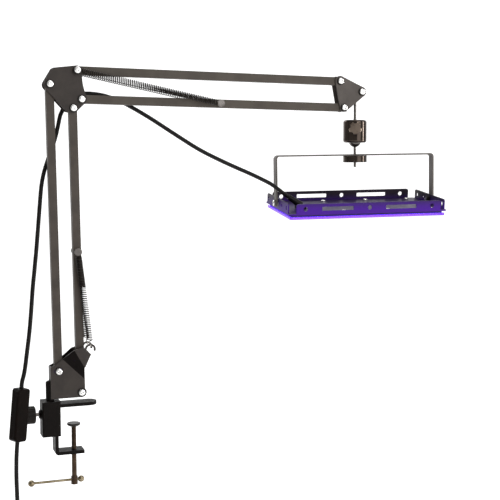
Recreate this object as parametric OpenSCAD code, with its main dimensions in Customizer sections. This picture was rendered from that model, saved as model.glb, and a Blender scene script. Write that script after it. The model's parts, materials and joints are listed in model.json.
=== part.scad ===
// Exposure lamp on a sprung folding arm with a table clamp.
// X runs along the arm, Y away from the viewer, Z up. Sizes are in millimetres.
// The origin is on the underside of the upper jaw, over the clamp screw.

/* [Table clamp] */
// Height of the throat between the jaws
throat_h = 54; // [48:1:75]
// Thickness of both jaws and of the back strip
jaw_t = 4; // [3:0.5:5]
// Width of both jaws
jaw_w = 20; // [16:1:21]
// Reach of the upper jaw past the clamp screw
jaw_reach = 28; // [18:1:45]
// Distance from the clamp screw to the sleeve
screw_gap = 17; // [13:0.5:24]
// Length of the sleeve along the arm
sleeve_l = 22; // [18:1:28]
// Width of the sleeve across the arm
sleeve_w = 22; // [20:1:28]
// Height of the sleeve
sleeve_h = 42; // [34:1:46]
// Height of the sleeve's top over the underside of the jaw
sleeve_top = 7.5; // [5:0.5:8]
// Diameter of the clamp screw
screw_d = 6; // [5:0.5:8]
// Length of the clamp screw
screw_l = 73; // [68:1:90]
// Diameter of the screw's swivel pad
pad_d = 16; // [12:1:19]
// Thickness of the table that the clamp is closed on
table_t = 22; // [18:1:28]
// Distance between the balls of the tommy bar
bar_l = 60; // [40:1:64]
// Diameter of the tommy bar
bar_d = 3; // [2:0.5:3.5]
// Diameter of the balls on the tommy bar
bar_ball_d = 8; // [6:0.5:10]
// Diameter of the post in the sleeve
post_d = 10; // [8:0.5:12]
// Diameter of the lock knob
knob_d = 21; // [16:1:24]
// Length of the lock knob
knob_l = 11.7; // [8:0.1:14]
// Diameter of the lock knob's screw
knob_screw_d = 4; // [3:0.5:5]

/* [Arm] */
// Distance between the bolts of each arm tube
link_l = 340; // [260:5:420]
// Width of the square tubes
tube_w = 9.5; // [8:0.25:9.5]
// Height of the upper arm's tubes
upper_tube_h = 10.2; // [8:0.1:10.5]
// Wall of the tubes
tube_wall = 1; // [0.8:0.1:1.5]
// Lean of the lower arm from upright, positive towards the lamp
lower_lean = -0.9; // [-4:0.1:10]
// Slope of the upper arm from level, positive upwards
upper_slope = -0.7; // [-6:0.1:6]
// Thickness of the bracket, elbow and head plates
plate_t = 1.5; // [1:0.25:2]
// Thickness of the nylon washers beside the tubes
washer_t = 0.75; // [0.5:0.05:1]
// Diameter of the pivot bolts
bolt_d = 5; // [4:0.25:5]
// Diameter of the bolt heads
head_d = 8.2; // [7:0.2:9]
// Height of the lower arm's rear bolt over the underside of the jaw
rear_bolt_h = 43.5; // [40:0.5:50]
// Distance from the front to the rear bolt of the base, along the arm
base_step_x = 27; // [26:0.5:30]
// Drop from the rear to the front bolt of the base
base_step_z = 27.3; // [26:0.1:29]

/* [Springs] */
// Outer diameter of the springs
spring_d = 8; // [7:0.25:8]
// Thickness of the spring wire
spring_wire = 1.2; // [0.8:0.1:1.4]
// Curls of each upper spring
upper_curls = 21; // [12:1:23]
// Curls of each lower spring
lower_curls = 13; // [8:1:15]
// Distance from the lower arm's front bolt to its spring pin
lower_pin_at = 170; // [150:1:190]
// Distance from the upper arm's lower bolt to its spring pin
upper_pin_at = 172; // [150:1:190]
// Diameter of the spring pins
spring_pin_d = 4; // [3:0.25:4]

/* [Ball head] */
// Diameter of the ball head's housing
ball_body_d = 30.5; // [26:0.5:32]
// Height of the ball head's housing
ball_body_h = 29.4; // [28:0.1:34]
// Diameter of the ball
ball_d = 16; // [14:0.5:18]
// Diameter of the hanger stud and of the ball's stem
stud_d = 3.5; // [3:0.25:5]
// Height of the gap between the hanger block and the ball head
stud_gap = 23.7; // [12:0.1:30]
// Diameter of the bracket's lock disc
disc_d = 31; // [20:0.2:32]
// Thickness of the bracket's lock disc
disc_t = 8.6; // [6:0.2:12]
// Diameter of the ball head's lock knob
ball_knob_d = 17; // [12:0.5:18]
// Turn of the lock knob round the ball head, in degrees
ball_knob_turn = -24; // [-60:1:60]
// Lean of everything under the ball, its right side up, in degrees
hang_lean = 0.9; // [0:0.1:3]

/* [Lamp] */
// Length of the lamp over its side flanges
lamp_l = 213; // [190:1:240]
// Width of the lamp
lamp_w = 105; // [90:1:120]
// Height of the flanges, with the back plate
flange_h = 14; // [12:0.5:16]
// Thickness of the lamp's sheet metal
sheet_t = 1.5; // [1:0.25:2]
// Length of the flanges on the long sides
long_flange_l = 195; // [180:1:205]
// Length of the flanges on the short sides
short_flange_l = 91; // [80:1:96]
// Height of the lamp's tilt axis over the bottom of the back plate
axis_h = 7.9; // [6:0.1:9]
// Thickness of the glass
glass_t = 3.2; // [2:0.1:4]
// Width of the bracket's strip
strip_w = 11; // [9:0.5:14]
// Thickness of the bracket's strip
strip_t = 2; // [1.5:0.1:3]
// Height of the bracket from its bolts to its top
bracket_h = 60.7; // [58:0.1:80]
// Turn of the bracket towards the viewer, in degrees
lamp_yaw = 4.5; // [0:0.5:6]
// Tilt of the lamp, its near side down, in degrees
lamp_tilt = 6.8; // [0:0.1:8]
// LEDs along the lamp
led_columns = 12; // [6:1:14]
// LEDs across the lamp
led_rows = 6; // [3:1:7]

/* [Cord] */
// Diameter of the cord
cord_d = 5; // [4:0.25:5]
// Length of the switch
switch_l = 62; // [50:1:62]
// Width of the switch
switch_w = 18; // [15:0.5:19]
// Thickness of the switch
switch_t = 13; // [11:0.5:14]
// Inner radius of the coil, at the middle of its first turn
coil_r = 21.5; // [20:0.5:26]
// Turns in each of the coil's two layers
coil_turns = 2.5; // [1.5:1:3.5]
// Distance between the middles of neighbouring turns
coil_pitch = 5.6; // [5.6:0.1:7]

/* [Hidden] */

run_gap = 0.05; // running clearance of a shaft, on the radius
open_gap = 0.1; // clearance at the far bolt of each second tube, on the radius
soft_gap = 0.3; // clearance beside cords and springs

// Middles of the main pieces across and along the arm
sleeve_x = -screw_gap - sleeve_l / 2;
sleeve_z = sleeve_top - sleeve_h;
lower_jaw_z = -throat_h;
screw_bottom = -table_t - 2.5 - screw_l;
pad_t = 4;
bar_z = screw_bottom + 5.5;
screw_head_d = screw_d + 2;
screw_head_h = 9.5;
bar_shift = (screw_head_d + bar_ball_d - bar_l) / 2 + 0.1;
knob_z = -8.5;
knob_x = sleeve_x - sleeve_l / 2 - 7.1;
boss_d = 13;
boss_t = 2.5;
post_top = 31.5;

// Side plates: the tubes run between them, with a nylon washer each side
gap_y = tube_w / 2 + washer_t;
plate_y = gap_y + plate_t;
spring_y = max(tube_w / 2, gap_y + plate_t - 1.75) + spring_d / 2 + 0.5 - (spring_d - 8) / 2;
nut_t = 4;
nut_d = 8.6;
boss_r = 6;
tube_end = 5;

// Bolts of the arm, as [x, z]
rear_bolt = [sleeve_x + 10, rear_bolt_h];
front_bolt = rear_bolt + [base_step_x, -base_step_z];
lower_dir = [sin(lower_lean), cos(lower_lean)];
upper_dir = [cos(upper_slope), sin(upper_slope)];
elbow_rear = rear_bolt + link_l * lower_dir;
elbow_front = front_bolt + link_l * lower_dir;
elbow_top = elbow_rear + [31.6, 16.6];
elbow_low = elbow_rear + [37, -16.8];
head_top = elbow_top + link_l * upper_dir;
head_low = elbow_low + link_l * upper_dir;
head_tip = head_top + [30.4, -12.9];
lower_pin = front_bolt + lower_pin_at * lower_dir;
upper_pin = elbow_low + upper_pin_at * upper_dir;

// Base bracket: its cheeks bend out to the ears that hold the springs
cheek_left = sleeve_x;
ear_y = spring_y;
hook_at = rear_bolt + [37.5, 25];
hook_r = 5.4;
hook_w = 2.2;
hook_top = hook_at + [0, hook_r];

// Ball head and bracket, hanging in line
hang_x = head_tip[0] - 6;
block_low_r = 4;
block_low_z = head_tip[1] - 8.5;
block_t = 2 * (gap_y - washer_t);
ball_top = block_low_z - block_low_r - stud_gap;
ball_bottom = ball_top - ball_body_h;
ball_c = ball_bottom + 2.3;
stem_gap = 9;
bracket_top = ball_c - ball_d / 2 - stem_gap;
stem_bottom = bracket_top - strip_t - disc_t - 6.2;
lamp_z = bracket_top - bracket_h;
ball_knob_z = ball_bottom + 18;
plunger_d = 10;

// Lamp, in its own frame: U along the lamp, V across, W up, from the tilt axis
plate_w = -axis_h;
flange_top = plate_w + flange_h;
leg_gap = 1;
leg_u = lamp_l / 2 + leg_gap;
hole_pitch = (long_flange_l - 24) / 2;
board_t = 1.6;
chip_t = 0.8;
seal_t = 2.8;
glass_w = plate_w - seal_t - glass_t;
gland_u = -lamp_l / 2 + 28.5;
gland_v = -9;
gland_rise = 34;
gland_l = 20;
gland_base_d = 9.5;
gland_foot = gland_base_d / 2 * cos(gland_rise) + 0.15;

// A point given in the lamp's frame, and a direction
function turned(p) =
    let (
        v = p[1] * cos(lamp_tilt) - p[2] * sin(lamp_tilt),
        w = p[1] * sin(lamp_tilt) + p[2] * cos(lamp_tilt)
    )
    [p[0] * cos(lamp_yaw) + v * sin(lamp_yaw), v * cos(lamp_yaw) - p[0] * sin(lamp_yaw), w];
function leaned(p) =
    [p[0] * cos(hang_lean) - p[2] * sin(hang_lean), p[1], p[0] * sin(hang_lean) + p[2] * cos(hang_lean)];
gland_dir = leaned(turned([-cos(gland_rise), 0, sin(gland_rise)]));
gland_mouth = [hang_x, 0, ball_c]
    + leaned([0, 0, lamp_z - ball_c] + turned([gland_u, gland_v, plate_w + sheet_t + gland_foot]))
    + (gland_l + soft_gap) * gland_dir;

// Cord: route points [x, y, z] from the lamp to the coil, its two stretches meeting behind the elbow
elbow_joint = [-5.5, 10.5, 355.5];
elbow_dir = unit([-7.8, 0.2, -18]);
cord_upper_points = [
    gland_mouth, gland_mouth + 2 * gland_dir, gland_mouth + 6 * gland_dir, [256, -4, 264], [242, -4, 269.5], [226, -4, 276.5],
    [193, -3, 291], [161, -1, 307.5], [130, 2, 326.5], [100, 7, 346], [74, 10.5, 361],
    [58, 10.5, 368], [45, 10.5, 372.5], [33, 10.5, 375], [23, 10.5, 375.5], [14, 10.5, 374.2],
    [6, 10.5, 370.5], elbow_joint - 9 * elbow_dir, elbow_joint - 4 * elbow_dir, elbow_joint - 0.2 * elbow_dir
];
cord_drop_points = [
    elbow_joint + 0.2 * elbow_dir, elbow_joint + 4 * elbow_dir, elbow_joint + 9 * elbow_dir, [-12, 11, 334], [-15, 11, 322], [-20, 11, 307], [-26, 10, 291],
    [-30.5, 8, 277], [-33.5, 5.5, 263], [-36, 2.5, 243], [-39, -1, 216], [-42, -4, 189], [-45, -7, 166],
    [-48, -10, 143], [-50.5, -13, 119], [-53.5, -17, 95], [-57.5, -21, 70], [-61, -23.4, 49], [-63.9, -24, 38], [-64.9, -24, 29.7]
];
cord_tail_points = [
    [-70.5, -24, -32.2], [-71.4, -24, -42], [-72.2, -24.2, -56], [-72.6, -24.8, -75], [-72.3, -25.8, -98],
    [-71.8, -26.5, -120], [-71.5, -26.8, -142], [-71.5, -26.8, -156], [-71.5, -26.8, -166]
];
cord_sides = 8;

// Switch: hangs on the cord, turned and leaning with it
switch_top = [-64.9, -24, 29.7];
switch_lean = 5.2;
switch_turn = 30;

// Coil: two layers in an upright plane, under the clamp
coil_out = coil_r + coil_pitch * coil_turns;
coil_c = [-71.5 + coil_out, -24, -166];
coil_layer = 5.6;
plug_top = [-71.5, -24 + coil_layer / 2, -196];
plug_l = 36;

// Helpers

// A point of the X-Z plane, on a plane across the arm
function at_y(p, y) = [p[0], y, p[1]];

function unit(v) = v / norm(v);

// Points of a Catmull-Rom curve through the points p, two steps to a span
function curve_point(a, b, c, d, t) =
    0.5 * (2 * b + (c - a) * t + (2 * a - 5 * b + 4 * c - d) * t * t + (3 * b - a - 3 * c + d) * t * t * t);
function smooth(p) = [
    for (i = [0 : len(p) - 2], t = [0, 0.5])
        curve_point(p[max(i - 1, 0)], p[i], p[i + 1], p[min(i + 2, len(p) - 1)], t),
    p[len(p) - 1]
];

function tangent(p, i) = unit(p[min(i + 1, len(p) - 1)] - p[max(i - 1, 0)]);

function square_to(v, t) = unit(v - (v * t) * t);

// Directions square to the path, carried along it without twist
function normals(p) = [
    for (
        i = 0, n = square_to(abs(tangent(p, 0)[1]) < 0.9 ? [0, 1, 0] : [1, 0, 0], tangent(p, 0));
        i < len(p);
        i = i + 1, n = i < len(p) ? square_to(n, tangent(p, i)) : n
    ) n
];

// A closed tube along the path p
module tube(p, d, sides) {
    n = normals(p);
    rings = len(p);
    points = [
        for (i = [0 : rings - 1], k = [0 : sides - 1])
            let (t = tangent(p, i), b = cross(t, n[i]), a = 360 * k / sides)
            p[i] + d / 2 * (cos(a) * n[i] + sin(a) * b)
    ];
    sides_faces = [
        for (i = [0 : rings - 2], k = [0 : sides - 1], half = [0, 1])
            let (a = i * sides + k, b = i * sides + (k + 1) % sides, c = a + sides, e = b + sides)
            half == 0 ? [a, e, b] : [a, c, e]
    ];
    ends = [
        [for (k = [0 : sides - 1]) k],
        [for (k = [sides - 1 : -1 : 0]) (rings - 1) * sides + k]
    ];
    polyhedron(points, concat(sides_faces, ends));
}

// Least gap of a tube to itself, between points more than apart steps from each other
function least_gap(p, d, apart) =
    min([for (i = [0 : len(p) - 1]) for (j = [i + apart : 1 : len(p) - 1]) norm(p[i] - p[j])]) - d;

// Corner points of the outline that a belt round the circles [x, z, r] would take
function belt(c) = [
    for (i = [0 : len(c) - 1])
        let (
            a = c[i],
            b = c[(i + 1) % len(c)],
            d = [b[0] - a[0], b[1] - a[1]],
            turn = atan2(d[1], d[0]) - acos((a[2] - b[2]) / norm(d)),
            n = [cos(turn), sin(turn)]
        )
        each [[a[0], a[1]] + a[2] * n, [b[0], b[1]] + b[2] * n]
];

module belt_shape(c) {
    polygon(belt(c));
    for (p = c) {
        translate([p[0], p[1]]) circle(r = p[2], $fn = 48);
    }
}

module rounded_rect(l, w, r) {
    square([l - 2 * r, w], center = true);
    square([l, w - 2 * r], center = true);
    for (x = [-1, 1], y = [-1, 1]) {
        translate([x * (l / 2 - r), y * (w / 2 - r)]) circle(r = r, $fn = 32);
    }
}

// Sets a shape drawn in X-Z upright, from y0 with thickness t
module upright(y0, t) {
    translate([0, y0 + t, 0]) rotate([90, 0, 0]) linear_extrude(t) children();
}

// Puts a piece drawn along +Z onto the axis of a bolt that points to -Y
module on_bolt(p, y) {
    translate([p[0], y, p[1]]) rotate([90, 0, 0]) children();
}

module bolt_hole(p, gap = run_gap) {
    on_bolt(p, 20) cylinder(d = bolt_d + 2 * gap, h = 40, $fn = 48);
}

module pan_head(d, h) {
    difference() {
        rotate_extrude($fn = 48) polygon([
            [0, 0], [d / 2, 0], [d / 2, h * 0.45], [d / 2 * 0.93, h * 0.7], [d / 2 * 0.78, h * 0.88],
            [d / 2 * 0.5, h * 0.98], [0, h]
        ]);
        for (turn = [20, 110]) {
            rotate([0, 0, turn]) translate([0, 0, h]) cube([d * 0.56, d * 0.13, h], center = true);
        }
    }
}

// A bolt through both side plates at p: its head in front, its shank to the end of the nut
module pivot_bolt(p, head_y, tail_y) {
    on_bolt(p, tail_y) cylinder(d = bolt_d, h = tail_y + head_y, $fn = 48);
    on_bolt(p, -head_y) pan_head(head_d, 3.2);
}

module pivot_nut(p, front_y, back_y) {
    difference() {
        union() {
            on_bolt(p, -front_y) cylinder(d = nut_d + 1, h = 0.8, $fn = 48);
            on_bolt(p, back_y + 0.8) cylinder(d = nut_d + 1, h = 0.8, $fn = 48);
            on_bolt(p, back_y + 0.8 + nut_t) cylinder(d = nut_d, h = nut_t, $fn = 6);
        }
        bolt_hole(p);
    }
}

module nylon_washers(points) {
    difference() {
        for (p = points, y = [tube_w / 2 + washer_t, -tube_w / 2]) {
            on_bolt(p, y) cylinder(d = 9.6, h = washer_t, $fn = 48);
        }
        for (p = points) {
            bolt_hole(p);
        }
    }
}

// A square tube between the bolts a and b, with clearance far_gap on the radius at b
module arm_tube(a, b, far_gap, h = tube_w) {
    d = b - a;
    turn = atan2(d[1], d[0]);
    difference() {
        translate([a[0], 0, a[1]]) rotate([0, -turn, 0]) difference() {
            translate([-tube_end, -tube_w / 2, -h / 2]) cube([norm(d) + 2 * tube_end, tube_w, h]);
            translate([-tube_end - 1, -tube_w / 2 + tube_wall, -h / 2 + tube_wall])
                cube([norm(d) + 2 * tube_end + 2, tube_w - 2 * tube_wall, h - 2 * tube_wall]);
        }
        bolt_hole(a, run_gap);
        bolt_hole(b, far_gap);
    }
}

// Table clamp

module clamp_frame() {
    back_x = -screw_gap - 7;
    tip = jaw_w / 2;
    color("#1c1a1a") difference() {
        union() {
            translate([sleeve_x, 0, sleeve_z]) linear_extrude(sleeve_h) rounded_rect(sleeve_l, sleeve_w, 2);
            linear_extrude(jaw_t) union() {
                translate([-screw_gap - 1, -jaw_w / 2]) square([screw_gap + 1 + jaw_reach - tip, jaw_w]);
                translate([jaw_reach - tip, 0]) circle(r = tip, $fn = 64);
            }
            upright(-jaw_w / 2, jaw_w) union() {
                translate([back_x, lower_jaw_z]) square([jaw_t, sleeve_z - lower_jaw_z + 1]);
                translate([back_x + jaw_t, lower_jaw_z - jaw_t]) square([screw_gap + 7 - jaw_t + 11, jaw_t]);
                intersection() {
                    translate([back_x + jaw_t, lower_jaw_z]) circle(r = jaw_t, $fn = 48);
                    translate([back_x, lower_jaw_z - jaw_t]) square([jaw_t, jaw_t]);
                }
            }
            translate([knob_x + 7.1 - boss_t, 0, knob_z]) rotate([0, 90, 0])
                cylinder(d1 = boss_d - 4, d2 = boss_d, h = boss_t, $fn = 48);
        }
        translate([sleeve_x, 0, sleeve_z - 1]) cylinder(d = post_d + 2 * run_gap, h = sleeve_h + 2, $fn = 64);
        translate([knob_x, 0, knob_z]) rotate([0, 90, 0])
            cylinder(d = knob_screw_d + 2 * run_gap, h = sleeve_x - knob_x, $fn = 48);
        translate([0, 0, lower_jaw_z - jaw_t - 1]) cylinder(d = screw_d + 2 * run_gap, h = jaw_t + 2, $fn = 48);
    }
}

module screw_pad() {
    color("#2a2725") translate([0, 0, -table_t - pad_t]) difference() {
        rotate_extrude($fn = 64) polygon([
            [0, 0], [pad_d / 2 - 3, 0], [pad_d / 2, 1.8], [pad_d / 2, pad_t - 0.4], [pad_d / 2 - 0.4, pad_t], [0, pad_t]
        ]);
        translate([0, 0, -1]) cylinder(d = screw_d - 1 + 2 * run_gap, h = 2.5 + 1, $fn = 48);
    }
}

module clamp_screw() {
    color("#3a2f28") difference() {
        union() {
            translate([0, 0, -table_t - pad_t]) cylinder(d = screw_d - 1, h = 2.4, $fn = 48);
            translate([0, 0, screw_bottom + screw_head_h])
                cylinder(d = screw_d, h = -table_t - pad_t - screw_bottom - screw_head_h, $fn = 48);
            translate([0, 0, screw_bottom]) cylinder(d = screw_head_d, h = screw_head_h, $fn = 48);
        }
        translate([0, 0, bar_z]) rotate([0, 90, 0])
            cylinder(d = bar_d + 2 * run_gap, h = 2 * screw_d, center = true, $fn = 32);
    }
}

module tommy_bar() {
    color("#b9a47a") translate([bar_shift, 0, bar_z]) {
        rotate([0, 90, 0]) cylinder(d = bar_d, h = bar_l, center = true, $fn = 32);
        for (side = [-1, 1]) {
            translate([side * bar_l / 2, 0, 0]) sphere(d = bar_ball_d, $fn = 48);
        }
    }
}

module lock_knob() {
    color("#161616") translate([knob_x - knob_l, 0, knob_z]) rotate([0, 90, 0]) difference() {
        rotate_extrude($fn = 72) polygon([
            [0, 0], [knob_d / 2 - 1.6, 0], [knob_d / 2, 1.4], [knob_d / 2, knob_l - 1.2],
            [knob_d / 2 - 1.2, knob_l], [0, knob_l]
        ]);
        for (turn = [0 : 20 : 340]) {
            rotate([0, 0, turn]) translate([knob_d / 2 + 0.35, 0, -1]) cylinder(d = 2.2, h = knob_l + 2, $fn = 16);
        }
        translate([0, 0, knob_l - 7]) cylinder(d = knob_screw_d, h = 8, $fn = 32);
    }
}

module lock_screw() {
    tip_x = sleeve_x - post_d / 2 - soft_gap;
    color("silver") translate([knob_x - 7, 0, knob_z]) rotate([0, 90, 0])
        cylinder(d = knob_screw_d, h = tip_x - knob_x + 7, $fn = 32);
}

// Base

module swivel_post() {
    color("#1c1a1a") translate([sleeve_x, 0, sleeve_z]) rotate_extrude($fn = 64) polygon([
        [0, 0], [post_d / 2, 0], [post_d / 2, post_top - sleeve_z - 1.6], [post_d / 2 - 1.6, post_top - sleeve_z],
        [0, post_top - sleeve_z]
    ]);
}

module spring_hook() {
    translate(hook_at) difference() {
        circle(r = hook_r + hook_w / 2, $fn = 48);
        circle(r = hook_r - hook_w / 2, $fn = 48);
        translate([-20, -20]) square([20, 20]);
        rotate(-25) translate([0, -20]) square([20, 20]);
    }
}

// One cheek, drawn for the side away from the viewer
module base_cheek() {
    a = rear_bolt;
    bend_top = a + [4.5, 14.3];
    bend_low = a + [30.3, -11];
    ear_top = a + [18.2, 24.7];
    ear_low = a + [30.2, 3.1];
    upright(gap_y, plate_t) union() {
        polygon([
            [cheek_left, front_bolt[1] - boss_r], front_bolt - [0, boss_r], front_bolt + [3.3, 0], bend_low, bend_top,
            a + [-3.7, 8.2], [cheek_left, a[1] + 5.1]
        ]);
        translate(front_bolt) circle(r = boss_r, $fn = 48);
    }
    hull() {
        for (p = [bend_top, bend_low]) {
            translate([p[0], gap_y, p[1]]) cube([0.1, plate_t, 0.1]);
        }
        for (p = [ear_top, ear_low]) {
            translate([p[0], ear_y - plate_t / 2, p[1]]) cube([0.1, plate_t, 0.1]);
        }
    }
    upright(ear_y - plate_t / 2, plate_t) union() {
        polygon([
            ear_top, ear_low, ear_low + [0.8, 0], a + [38.3, 18.8], a + [32.5, 25], a + [29.2, 28]
        ]);
        spring_hook();
    }
}

module base_bracket() {
    web_low = post_top + 2;
    color("#3f3a36") difference() {
        union() {
            base_cheek();
            mirror([0, 1, 0]) base_cheek();
            translate([cheek_left, -gap_y, web_low]) cube([plate_t, 2 * gap_y, rear_bolt[1] + 5.1 - web_low]);
            for (side = [-1, 1]) {
                translate([sleeve_x + 3, side * (gap_y - 0.9), post_top - 10]) cube([5, 1.9, 16], center = true);
            }
        }
        translate([sleeve_x, 0, 0]) cylinder(d = post_d, h = post_top, $fn = 64);
        bolt_hole(rear_bolt);
        bolt_hole(front_bolt);
    }
}

module base_bolts() {
    color("silver") {
        pivot_bolt(rear_bolt, plate_y + 0.8, plate_y + 0.8 + nut_t + 1);
        pivot_bolt(front_bolt, plate_y + 0.8, plate_y + 0.8 + nut_t + 1);
    }
}

module base_nuts() {
    color("#1a1a1a") {
        pivot_nut(rear_bolt, plate_y, plate_y);
        pivot_nut(front_bolt, plate_y, plate_y);
    }
}

module base_washers() {
    color("#0f0f0f") nylon_washers([rear_bolt, front_bolt]);
}

// Lower arm

module rear_lower_tube() {
    color("#4a443f") arm_tube(rear_bolt, elbow_rear, run_gap);
}

module pin_hole(p) {
    on_bolt(p, 20) cylinder(d = spring_pin_d, h = 40, $fn = 32);
}

module front_lower_tube() {
    color("#4a443f") difference() {
        arm_tube(front_bolt, elbow_front, open_gap);
        pin_hole(lower_pin);
    }
}

// A pin across a tube with a broad head each side, outside the springs
module spring_pin(p) {
    reach = spring_y + spring_wire / 2 + soft_gap;
    on_bolt(p, reach) cylinder(d = spring_pin_d, h = 2 * reach, $fn = 32);
    for (y = [reach + 1.6, -reach]) {
        on_bolt(p, y) cylinder(d = 9, h = 1.6, $fn = 48);
    }
}

module lower_spring_pin() {
    color("#38332f") spring_pin(lower_pin);
}

// Springs: an eye at each end and the curls between, as one wire.
// Along D, across N and M; the first eye lies in D-N and the last in D-N or in D-M.
function eye(c, d, n, r, from, to) = [
    for (k = [0 : 7]) let (a = from + (to - from) * k / 7) c + r * (cos(a) * d + sin(a) * n)
];
function spring_path(a, b, n, m, last_n, eye_a, eye_b, curls) =
    let (
        d = unit(b - a),
        r = (spring_d - spring_wire) / 2,
        from = eye_a + 3.5,
        run = norm(b - a) - from - eye_b - 3.5
    )
    concat(
        eye(a, d, n, eye_a, -75, -285),
        [a + (eye_a + 1.6) * d + 0.3 * r * n],
        [
            for (k = [0 : curls * 8])
                let (s = k / (curls * 8), turn = 360 * curls * s)
                a + (from + run * s) * d + r * (cos(turn) * n + sin(turn) * m)
        ],
        [b - (eye_b + 1.6) * d + 0.3 * r * last_n],
        eye(b, -d, last_n, eye_b, 75, 285)
    );

bolt_eye = bolt_d / 2 + spring_wire / 2 + soft_gap;
pin_eye = spring_pin_d / 2 + spring_wire / 2 + soft_gap;
hook_eye = hook_w / 2 + spring_wire / 2 + 0.8;

function upper_spring_path(y) =
    spring_path(
        at_y(elbow_top, y), at_y(upper_pin, y), [-upper_dir[1], 0, upper_dir[0]], [0, 1, 0],
        [-upper_dir[1], 0, upper_dir[0]], bolt_eye, pin_eye, upper_curls
    );
function lower_spring_path(y) =
    spring_path(
        at_y(lower_pin, y), at_y(hook_top, y), [1, 0, 0], [0, 1, 0], [0, 1, 0], pin_eye, hook_eye, lower_curls
    );

echo("upper spring, least gap to itself", least_gap(upper_spring_path(0), spring_wire, 5));
echo("lower spring, least gap to itself", least_gap(lower_spring_path(0), spring_wire, 5));

module lower_spring_front() {
    color("#151515") tube(lower_spring_path(-spring_y), spring_wire, 6);
}

module lower_spring_back() {
    color("#151515") tube(lower_spring_path(spring_y), spring_wire, 6);
}

module upper_spring_front() {
    color("#151515") tube(upper_spring_path(-spring_y), spring_wire, 6);
}

module upper_spring_back() {
    color("#151515") tube(upper_spring_path(spring_y), spring_wire, 6);
}

// Elbow

module elbow_plate() {
    o = elbow_rear;
    belt_low = [elbow_front[0], elbow_front[1], boss_r - 0.3];
    belt_right = [elbow_low[0], elbow_low[1], boss_r + 0.3];
    belt_top = [elbow_top[0], elbow_top[1], boss_r - 0.3];
    belt_foot = [elbow_front[0] - 6, elbow_front[1] + 0.8, boss_r - 0.5];
    belt_back = [o[0] - 0.6, o[1] - 0.6, boss_r + 0.9];
    belt_corner = [o[0] + 4.7, o[1] + 16.4, 2.6];
    notch_r = 10 * boss_r;
    difference() {
        belt_shape([belt_corner, belt_back, belt_foot, belt_low, belt_right, belt_top]);
        translate([elbow_top[0] + boss_r + 0.2 + notch_r, o[1] + 10.9]) circle(r = notch_r, $fn = 180);
    }
}

module drilled_elbow_plate(y) {
    color("#433e39") difference() {
        upright(y, plate_t) elbow_plate();
        for (p = [elbow_rear, elbow_front, elbow_top, elbow_low]) {
            bolt_hole(p);
        }
    }
}

module elbow_plate_front() {
    drilled_elbow_plate(-plate_y);
}

module elbow_plate_back() {
    drilled_elbow_plate(gap_y);
}

spring_bolt_y = spring_y + spring_wire / 2 + soft_gap;

module elbow_bolts() {
    color("silver") {
        for (p = [elbow_rear, elbow_front, elbow_low]) {
            pivot_bolt(p, plate_y + 0.8, plate_y + 0.8 + nut_t + 1);
        }
        pivot_bolt(elbow_top, spring_bolt_y + 0.8, spring_bolt_y + 0.8 + nut_t + 1);
    }
}

module elbow_nuts() {
    color("#1a1a1a") {
        for (p = [elbow_rear, elbow_front, elbow_low]) {
            pivot_nut(p, plate_y, plate_y);
        }
        pivot_nut(elbow_top, spring_bolt_y, spring_bolt_y);
    }
}

module elbow_washers() {
    color("#0f0f0f") nylon_washers([elbow_rear, elbow_front, elbow_top, elbow_low]);
}

// Upper arm

module top_arm_tube() {
    color("#4a443f") arm_tube(elbow_top, head_top, run_gap, upper_tube_h);
}

module bottom_arm_tube() {
    color("#4a443f") difference() {
        arm_tube(elbow_low, head_low, open_gap, upper_tube_h);
        pin_hole(upper_pin);
    }
}

module upper_spring_pin() {
    color("#38332f") spring_pin(upper_pin);
}

// Head

module head_plate() {
    belt_shape([
        [head_top[0], head_top[1], boss_r + 0.8], [head_low[0], head_low[1], boss_r - 0.3],
        [head_tip[0], head_tip[1], boss_r + 0.4]
    ]);
}

module drilled_head_plate(y) {
    color("#5c5651") difference() {
        upright(y, plate_t) head_plate();
        for (p = [head_top, head_low, head_tip]) {
            bolt_hole(p);
        }
    }
}

module head_plate_front() {
    drilled_head_plate(-plate_y);
}

module head_plate_back() {
    drilled_head_plate(gap_y);
}

module head_bolts() {
    color("silver") for (p = [head_top, head_low, head_tip]) {
        pivot_bolt(p, plate_y + 0.8, plate_y + 0.8 + nut_t + 1);
    }
}

module head_nuts() {
    color("#1a1a1a") for (p = [head_top, head_low, head_tip]) {
        pivot_nut(p, plate_y, plate_y);
    }
}

module head_washers() {
    color("#0f0f0f") nylon_washers([head_top, head_low, head_tip]);
}

module hanger_block() {
    color("#26221f") difference() {
        upright(-block_t / 2, block_t) belt_shape([[head_tip[0], head_tip[1], 5], [hang_x, block_low_z, block_low_r]]);
        bolt_hole(head_tip);
        translate([hang_x, 0, block_low_z - block_low_r - 1]) cylinder(d = stud_d, h = block_low_r + 3, $fn = 48);
    }
}

module hanger_stud() {
    color("#4d4a47") translate([hang_x, 0, ball_top - 6.5])
        cylinder(d = stud_d, h = block_low_z + 2 - ball_top + 6.5, $fn = 48);
}

// Ball head

// Puts a piece drawn along +Z onto the lock knob's axis, from the middle of the housing outwards
module ball_knob_place() {
    translate([hang_x, 0, ball_knob_z]) rotate([0, 0, ball_knob_turn]) rotate([90, 0, 0]) children();
}

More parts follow.
